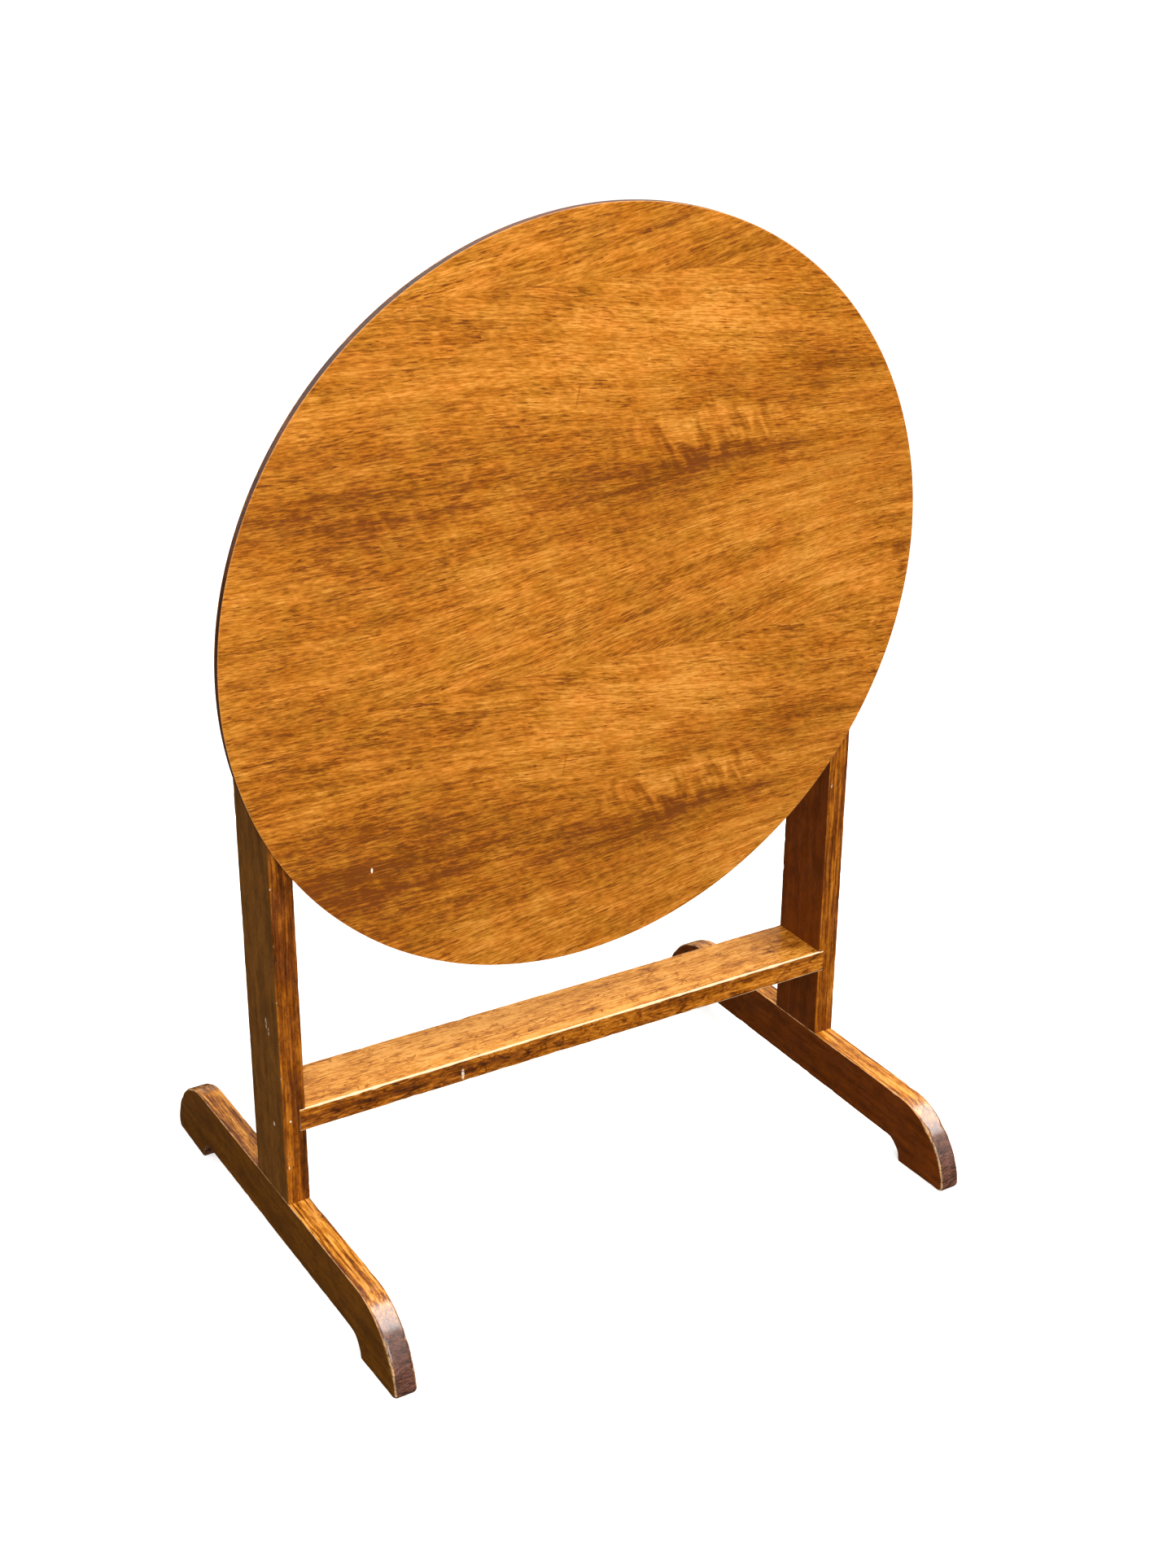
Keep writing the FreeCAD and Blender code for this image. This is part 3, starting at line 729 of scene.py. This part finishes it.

# the darker colour painted on the inner side faces as painted shade
innerSideShadeColour = (0.128, 0.026, 0.000)
footLook = {
    **frameLook, "turn": alongY, "sideShade": 0.97, "band": 8.0, "scratch": 0.5, "coat": 1.0, "coatIor": 1.9,
    "chips": 0.15, "darkEnds": True}
uprightLook = {
    **frameLook, "turn": alongZ, "sideShade": 0.97, "band": 9.0, "dashLength": 40.0, "wear": 0.0, "scratch": 0.0}
# in the looks below, top is a painted top light and the side shade numbers are a painted shade
woodLooks = {
    "footWood_left": {
        **footLook, "seed": 1.0, "tone": 0.40, "ribbon": 0.62, "top": 0.20, "wear": 0.10,
        "sideShadeColour": (0.150, 0.049, 0.001)},
    "footWood_right": {
        **footLook, "seed": 2.0, "tone": 0.42, "ribbon": 0.55, "top": 0.23, "wear": 0.12,
        "sideShadeColour": innerSideShadeColour},
    "uprightWood_left": {
        **uprightLook, "seed": 3.0, "tone": 0.33, "ribbon": 0.24, "dash": 0.14, "chips": 0.5,
        "marks": [((outerLeft, -13.0, 158.0), (4, 2.6, 3.0)),
                  ((outerLeft + 7.5, frontFace, 171.0), (1.4, 3, 1.5)),
                  ((outerLeft + 3.0, frontFace, 131.0), (0.9, 3, 3.4)),
                  ((outerLeft + 3.4, frontFace, 119.0), (0.8, 3, 2.2)),
                  ((outerLeft, -8.0, 268.0), (4, 2.2, 7.0)),
                  ((outerLeft, -13.0, 261.0), (4, 1.6, 5.0))]},
    "uprightWood_right": {
        **uprightLook, "seed": 4.0, "tone": 0.38, "ribbon": 0.30, "dash": 0.16, "sideShadeColour": innerSideShadeColour,
        "marks": [((-outerLeft - 20.0, frontFace, 380.0), (1.2, 3, 3.0))]},
    # the rail's cream edge colour and strong edge wear also stand in for a painted highlight along its front
    # top edge
    "railWood": {
        **frameLook, "seed": 5.0, "tone": 0.48, "ribbon": 0.12, "top": 0.38, "band": 16.0, "dashLength": 26.0,
        "speck": 0.26, "wear": 0.85, "worn": (0.94, 0.72, 0.44), "chips": 0.8, "scratch": 1.4,
        "scratchWidth": 0.06, "marks": [((-135.5, frontFace, 165.0), (2.0, 3, 7.5))],
        "shades": [((-250, frontFace, 168), (170, 20, 14), -0.20), ((296, 16, railTop), (60, 60, 6), -0.20),
                   ((-300, 10, railTop), (40, 60, 6), -0.12)]},
    "upperRailWood": {**frameLook, "seed": 6.0, "tone": 0.42, "ribbon": 0.25, "top": 0.2, "band": 16.0},
    "bearerWood": {
        **frameLook, "turn": alongZ, "seed": 7.0, "tone": 0.40, "ribbon": 0.25, "sideShade": 0.6, "band": 12.0},
    "blockWood": {**frameLook, "seed": 8.0, "tone": 0.42, "ribbon": 0.25, "band": 12.0},
    "buttonWood": {**frameLook, "seed": 9.0, "tone": 0.26, "ribbon": 0.2, "band": 8.0},
    "stripWood": {
        **frameLook, "seed": 10.0, "tone": 0.10, "ribbon": 0.06, "band": 40.0, "wear": 0.0, "scratch": 0.1,
        "speck": 0.06, "coat": 1.0, "coatIor": 1.8, "chips": 0.1},
    "boardWood": {
        **frameLook, "seed": 11.0, "tone": 0.40, "ribbon": 0.22, "band": 26.0, "wear": 0.0, "chips": 0.1},
    "coreWood": {**frameLook, "seed": 12.0, "tone": 0.60, "ribbon": 0.1, "band": 40.0, "coat": 0.0},
    "dowelWood": {**frameLook, "seed": 13.0, "tone": 0.75, "ribbon": 0.1, "band": 6.0, "coat": 0.0},
}
showVeneer = makeShowVeneer(veneerLook)
woods = {name: makeFrameWood(name, look) for name, look in woodLooks.items()}
boltSteel = makeMetal("boltSteel", metalLooks["boltSteel"])
washerBrass = makeMetal("washerBrass", metalLooks["washerBrass"])
print("finishes made:", len(bpy.data.materials))


# the stand

footShape = {"toeRadius": 77.5, "archHeight": 22.0, "archHalf": 192.0, "cornerRound": 8.0, "padRound": 2.5,
             "edgeRound": 1.4, "toeEdgeRound": 2.4, "knocks": 30, "knockDepth": 1.2}


# points of an arc about (y, z), from one angle to another, in degrees
def arcPoints(y, z, radius, first, last, count):
    angles = np.radians(np.linspace(first, last, count))
    return np.stack([y + radius * np.cos(angles), z + radius * np.sin(angles)], axis=-1)


# points along a straight line, start + (end - start) t
def linePoints(start, end, count):
    return np.linspace(np.array(start, dtype=float), np.array(end, dtype=float), count)


# one half of the foot's outline from the middle of its top over the toe and back to the middle
# of the arch; the other half is its mirror image
def footOutline(shape, half, top):
    flat = half - shape["toeRadius"]
    archFlat = shape["archHalf"] - shape["archHeight"]
    corner, pad = shape["cornerRound"], shape["padRound"]
    toeEnd = math.degrees(math.asin(corner / shape["toeRadius"]))
    parts = [
        linePoints((0, top), (flat, top), 40)[:-1],
        arcPoints(flat, 0, shape["toeRadius"], 90, toeEnd, 44),
        arcPoints(half - corner, corner, corner, -10, -90, 6),
        linePoints((half - corner, 0), (shape["archHalf"] + pad, 0), 16)[1:-1],
        arcPoints(shape["archHalf"] + pad, pad, pad, -90, -180, 6),
        arcPoints(archFlat, 0, shape["archHeight"], 9, 90, 14),
        linePoints((archFlat, shape["archHeight"]), (0, shape["archHeight"]), 34)[1:],
    ]
    front = np.concatenate(parts)
    back = front[::-1][1:-1] * np.array([-1, 1])
    return np.concatenate([front, back]) * mm


# the foot's outline given thickness, with knocked edges and rounder toes
def makeFoot(side, shape, seed):
    low, high = boxOf("foot_" + side)
    outline = footOutline(shape, high[1] * 1000, high[2] * 1000)
    randomness = np.random.default_rng(seed)
    step = np.linalg.norm(np.diff(outline, axis=0, append=outline[:1]), axis=1)
    radii = wornRadius(np.cumsum(step), shape["edgeRound"] * mm, shape["knocks"], shape["knockDepth"] * mm,
                       randomness)
    # the toes are worn rounder, and the small corners at the arch keep a tight edge
    toeward = np.clip((np.abs(outline[:, 0]) - 0.2) / 0.05, 0, 1)
    radii = radii + shape["toeEdgeRound"] * mm * toeward
    room = 0.0012 + 0.004 * np.maximum(toeward, np.clip((outline[:, 1] - 0.004) / 0.02, 0, 1))
    points, faces, arris = outlinedBoard(outline, low[0], high[0], np.minimum(radii, room), support=0.0005)
    return makePiece("foot." + side, points, faces, arris, woods["footWood_" + side], "stand",
                     ["foot_" + side])


uprightShape = {"edgeRound": 1.1, "knocks": 14, "knockDepth": 1.2, "topRound": 1.2, "seamRound": 0.7,
                "backRound": 12.0}


boltHole = {"headRadius": 10.08, "shankRadius": 5.06, "cone": 5.0, "sides": 64}


# the piece less the bolt's hole, which is a profile of radius r at depth d below the outer face
# turned about the pivot axis: (outer - d, y + r cos a, z + r sin a)
def sinkBolt(piece, outer, look):
    wide, narrow = look["headRadius"], look["shankRadius"]
    depths = np.array([-2.0, 0.0, look["cone"], 40.0]) * mm * math.copysign(1, outer)
    radii = np.array([wide, wide, narrow, narrow]) * mm
    turns = np.linspace(0, 2 * math.pi, look["sides"], endpoint=False)
    points = np.stack(np.broadcast_arrays(
        outer - depths[:, None], pivotPlace[1] + radii[:, None] * np.cos(turns),
        pivotPlace[2] + radii[:, None] * np.sin(turns)), axis=-1)
    faces = gridFaces(len(depths), look["sides"], True)
    last = (len(depths) - 1) * look["sides"]
    faces += [list(range(look["sides"])), list(range(last, last + look["sides"]))]
    mesh = closedMesh("boltHole", points, faces)
    cutter = bpy.data.objects.new("boltHole", mesh)
    bpy.context.scene.collection.objects.link(cutter)
    cut = piece.modifiers.new("boltHole", "BOOLEAN")
    cut.operation = "DIFFERENCE"
    cut.solver = "EXACT"
    cut.object = cutter
    graph = bpy.context.evaluated_depsgraph_get()
    holed = bpy.data.meshes.new_from_object(piece.evaluated_get(graph))
    piece.modifiers.clear()
    piece.data = holed
    shadeSmooth(holed, 30)
    bpy.data.objects.remove(cutter)
    bpy.data.meshes.remove(mesh)


# the upright's section carried up Z: its front edge follows a circle about the pivot near the
# top, y = -sqrt(R^2 - (z - pivot)^2), its back edge turns a smaller quarter circle there, and
# its inner face steps back where the rail is let in
def makeUpright(side, shape, seed):
    low, high = boxOf("upright_" + side)
    railLow, railHigh = boxOf("lower_rail")
    sign = 1 if side == "right" else -1
    swing = high[2] - pivotPlace[2]
    shoulder = pivotPlace[2] + math.sqrt(swing ** 2 - low[1] ** 2)
    step = 0.00004
    stations = np.concatenate([
        low[2] + np.linspace(0, shape["seamRound"], 4)[:-1] * mm,
        np.linspace(low[2] + 0.0012, railLow[2] - step, 16),
        np.linspace(railLow[2] + step, railHigh[2] - step, 8),
        np.linspace(railHigh[2] + step, shoulder, 90)[:-1],
        pivotPlace[2] + swing * np.cos(np.linspace(math.asin(-low[1] / swing), 0.03, 18)), [high[2]]])
    inRail = (stations > railLow[2]) & (stations < railHigh[2])
    rise = np.clip(stations - pivotPlace[2], 0, swing)
    front = np.where(stations > shoulder, -np.sqrt(np.maximum(swing ** 2 - rise ** 2, 1e-9)), low[1])
    backRound = shape["backRound"] * mm
    climb = np.clip(stations - (high[2] - backRound), 0, backRound)
    back = high[1] - backRound + np.sqrt(backRound ** 2 - climb ** 2)
    fromEnd = np.clip((stations - low[2]) / (shape["seamRound"] * mm), 0, 1)
    seamInset = shape["seamRound"] * mm * (1 - np.sqrt(1 - (1 - fromEnd) ** 2))
    topRound = shape["topRound"] * mm
    fromTop = np.clip((high[2] - stations) / topRound, 0, 1)
    topInset = topRound * (1 - np.sqrt(1 - (1 - fromTop) ** 2))
    inset = seamInset + topInset
    inner = np.where(inRail, abs(railHigh[0]), min(abs(low[0]), abs(high[0])))
    outer = max(abs(low[0]), abs(high[0])) - inset
    inner = inner + inset
    randomness = np.random.default_rng(seed)
    radii = [wornRadius(stations, shape["edgeRound"] * mm, shape["knocks"], shape["knockDepth"] * mm,
                        randomness) for _ in range(4)]
    x0, x1 = (inner, outer) if sign > 0 else (-outer, -inner)
    sections, arris = roundedSections(x0, x1, front + inset, back - inset, radii)
    points, faces, arris = carriedBar(stations, sections, arris, "abs")
    post = makePiece("upright." + side, points, faces, arris, woods["uprightWood_" + side], "stand",
                     ["upright_" + side])
    sinkBolt(post, sign * max(abs(low[0]), abs(high[0])), boltHole)


railShape = {"edgeRound": 1.0, "frontTopRound": 1.7, "knocks": 18, "knockDepth": 1.0}


# the rail's section carried along X, with its front top edge worn rounder than the others
def makeLowerRail(shape, seed):
    low, high = boxOf("lower_rail")
    stations = np.linspace(low[0], high[0], 150)
    randomness = np.random.default_rng(seed)
    rounds = (shape["edgeRound"], shape["frontTopRound"], shape["edgeRound"], shape["edgeRound"])
    radii = [wornRadius(stations, rounding * mm, shape["knocks"], shape["knockDepth"] * mm, randomness)
             for rounding in rounds]
    even = np.ones_like(stations)
    sections, arris = roundedSections(low[1] * even, high[1] * even, low[2] * even, high[2] * even, radii)
    points, faces, arris = carriedBar(stations, sections, arris, "sab")
    return makePiece("rail.lower", points, faces, arris, woods["railWood"], "stand", ["lower_rail"])


for side, seed in (("left", 21), ("right", 22)):
    makeFoot(side, footShape, seed)
    makeUpright(side, uprightShape, seed + 10)
makeLowerRail(railShape, 41)
print("stand made")


# the top

topShape = {"radius": 375.0, "steps": 360, "faceRound": 0.7, "stripSetIn": 0.15, "boardSetIn": 0.5,
            "boardRound": 1.0, "grooveRound": 0.5, "wobble": 0.08, "seamAngle": 121.0}
underside = pivotPlace[2] + 0.0507
layerTops = {"board": underside + 0.0029, "strip": underside + 0.0088, "face": underside + 0.0095}


# the (r, z) corners of a layer's edge rounded by quarter arcs, from the lower side to the upper
def edgeProfile(inner, outer, bottom, top, lowRound, highRound, steps=4):
    turns = np.linspace(0, math.pi / 2, steps + 1)
    lower = [(outer - lowRound + lowRound * math.sin(t), bottom + lowRound - lowRound * math.cos(t))
             for t in turns]
    upper = [(outer - highRound + highRound * math.cos(t), top - highRound + highRound * math.sin(t))
             for t in turns]
    return [(inner, bottom), (outer - lowRound - 0.001, bottom)] + lower + upper \
        + [(outer - highRound - 0.001, top), (inner, top)]


# one glued layer of the top: its edge profile turned about the disc's middle, then tipped up
def makeLayer(name, profile, start, sweep, steps, material, nodes, seed):
    randomness = np.random.default_rng(seed)
    points, whole = turnedShape(profile, start, sweep, steps, topShape["wobble"] * mm, randomness)
    rows, columns = points.shape[:2]
    faces = gridFaces(rows + 1 if whole else rows, columns, True)
    faces = [[index % (rows * columns) for index in face] for face in faces]
    if not whole:
        faces.append(list(range(columns)))
        faces.append(list(range((rows - 1) * columns, rows * columns)))
    heights = np.array([point[1] for point in profile])
    radii = np.array([point[0] for point in profile])
    nearEdge = radii > radii.max() - 0.0008
    nearFace = (heights > heights.max() - 0.0006) | (heights < heights.min() + 0.0006)
    arris = np.where(nearEdge & nearFace, 0.7, 0.0)
    return makePiece(name, toStored(points), faces, np.broadcast_to(arris, (rows, columns)), material, "top",
                     nodes)


def makeTop(shape):
    radius = shape["radius"] * mm
    groove = shape["grooveRound"] * mm
    face = edgeProfile(0.0005, radius, layerTops["strip"], layerTops["face"], 0.00005, 0.0006)
    makeLayer("top.face", face, 0, 2 * math.pi, shape["steps"], showVeneer, ["face_veneer"],
              51)
    strip = edgeProfile(radius - 0.004, radius - shape["stripSetIn"] * mm, layerTops["board"],
                        layerTops["strip"], groove, 0.00005)
    seamStart = math.radians(shape["seamAngle"])
    for name, start in (("a", seamStart), ("b", seamStart + math.pi)):
        makeLayer("top.strip." + name, strip, start + 0.0006, math.pi - 0.0012, shape["steps"] // 2 + 1,
                  woods["stripWood"],
                  ["edge_lipping_" + name], 52)
    board = edgeProfile(0.0005, radius - shape["boardSetIn"] * mm, underside, layerTops["board"],
                        shape["boardRound"] * mm, groove)
    makeLayer("top.board", board, 0, 2 * math.pi, shape["steps"], woods["boardWood"], ["back_panel"],
              53)


makeTop(topShape)
print("top made")

# the frame's own nodes, with their finishes

nodeFinish = {"upper_rail": woods["upperRailWood"], "latch_block": woods["blockWood"],
              "turn_button": woods["buttonWood"], "top_core": woods["coreWood"]}
for side in ("left", "right"):
    nodeFinish["bearer_" + side] = woods["bearerWood"]
    for dowels in ("foot_dowels_", "lower_rail_dowels_", "upper_rail_dowels_"):
        nodeFinish[dowels + side] = woods["dowelWood"]
    nodeFinish["pivot_washer_" + side] = washerBrass
    nodeFinish["pivot_inner_washer_" + side] = washerBrass
    for part in ("pivot_bolt_", "pivot_nut_", "bearer_screws_"):
        nodeFinish[part + side] = boltSteel
nodeFinish["latch_block_screws"] = boltSteel
nodeFinish["button_washer"] = washerBrass
nodeFinish["button_screw"] = washerBrass
for name, material in nodeFinish.items():
    for slot in frame["nodes"][name].material_slots:
        slot.material = material
print("finishes put on", len(nodeFinish), "nodes")

# floor, light and camera

stageLook = {"floorSize": 30.0, "floorColour": (0.93, 0.93, 0.925), "floorDim": (0.24, 0.23, 0.22),
             "floorGloss": (0.030, 0.026, 0.020), "floorGlow": 0.45,
             "skyStrength": 0.75, "horizonStrength": 0.25,
             "keyPlace": (1.45, -0.60, 3.05), "keySize": 3.2, "keyPower": 112.0,
             "fillPlace": (-1.3, -3.4, 1.9), "fillSize": 2.4, "fillPower": 138.0}


def makeFloor(look):
    half = look["floorSize"] / 2
    mesh = bpy.data.meshes.new("floor")
    corners = [(-half, -half, 0), (half, -half, 0), (half, half, 0), (-half, half, 0)]
    mesh.from_pydata(corners, [], [(0, 1, 2, 3)])
    material, tree, shader = newMaterial("floorPaper")
    # the floor is pale to look at, but throws back less light, so that undersides stay dark
    rays = addNode(tree, "LightPath").outputs
    colour = blend(tree, "MIX", rays["Is Glossy Ray"], (*look["floorDim"], 1), (*look["floorGloss"], 1))
    colour = blend(tree, "MIX", rays["Is Camera Ray"], colour, (*look["floorColour"], 1))
    feed(tree, shader.inputs["Base Color"], colour)
    glow = blend(tree, "MIX", rays["Is Camera Ray"], (0.0, 0.0, 0.0, 1), (1.0, 1.0, 0.99, 1))
    feed(tree, shader.inputs["Emission Color"], glow)
    shader.inputs["Emission Strength"].default_value = look["floorGlow"]
    shader.inputs["Roughness"].default_value = 0.9
    shader.inputs["Specular IOR Level"].default_value = 0.1
    mesh.materials.append(material)
    floor = bpy.data.objects.new("floor", mesh)
    bpy.context.scene.collection.objects.link(floor)


def makeSky(look):
    world = bpy.data.worlds.new("studio")
    world.use_nodes = True
    tree = world.node_tree
    background = tree.nodes["Background"]
    _, _, down = split(tree, addNode(tree, "NewGeometry").outputs["Incoming"])
    strength = between(tree, down, 0.0, -0.75, look["horizonStrength"], look["skyStrength"])
    background.inputs["Color"].default_value = (1.0, 0.985, 0.97, 1)
    feed(tree, background.inputs["Strength"], strength)
    bpy.context.scene.world = world


# the turn that points a lamp from place to target
def aimAt(place, target):
    direction = np.array(target) - np.array(place)
    return mathutils.Vector(direction).to_track_quat("-Z", "Y")


def makeLamp(name, look):
    light = bpy.data.lights.new(name, "AREA")
    light.shape = "DISK"
    light.size = look[name + "Size"]
    light.energy = look[name + "Power"]
    light.color = (1.0, 0.98, 0.96)
    lamp = bpy.data.objects.new(name, light)
    lamp.location = look[name + "Place"]
    lamp.rotation_mode = "QUATERNION"
    lamp.rotation_quaternion = aimAt(look[name + "Place"], (0, 0, 0.5))
    bpy.context.scene.collection.objects.link(lamp)


cameraLook = {"place": (-0.9978, -1.6885, 1.3280), "turn": 31.35, "down": 24.39, "roll": 0.44, "lens": 49.84}


# looking along (sin turn cos down, cos turn cos down, -sin down), rolled about that line
def makeCamera(look):
    turn, down, roll = (math.radians(look[key]) for key in ("turn", "down", "roll"))
    forward = np.array([math.sin(turn) * math.cos(down), math.cos(turn) * math.cos(down), -math.sin(down)])
    right = np.array([math.cos(turn), -math.sin(turn), 0.0])
    up = np.cross(right, forward)
    rolledRight = math.cos(roll) * right + math.sin(roll) * up
    rolledUp = -math.sin(roll) * right + math.cos(roll) * up
    camera = bpy.data.cameras.new("camera")
    camera.lens = look["lens"]
    camera.sensor_width = 36.0
    camera.sensor_fit = "AUTO"
    camera.clip_start = 0.05
    holder = bpy.data.objects.new("camera", camera)
    rows = np.eye(4)
    rows[:3, 0], rows[:3, 1], rows[:3, 2], rows[:3, 3] = rolledRight, rolledUp, -forward, look["place"]
    holder.matrix_world = mathutils.Matrix(rows.tolist())
    bpy.context.scene.collection.objects.link(holder)
    bpy.context.scene.camera = holder


makeFloor(stageLook)
makeSky(stageLook)
makeLamp("key", stageLook)
makeLamp("fill", stageLook)
makeCamera(cameraLook)
bpy.context.scene.view_settings.view_transform = "Standard"
print("stage made")
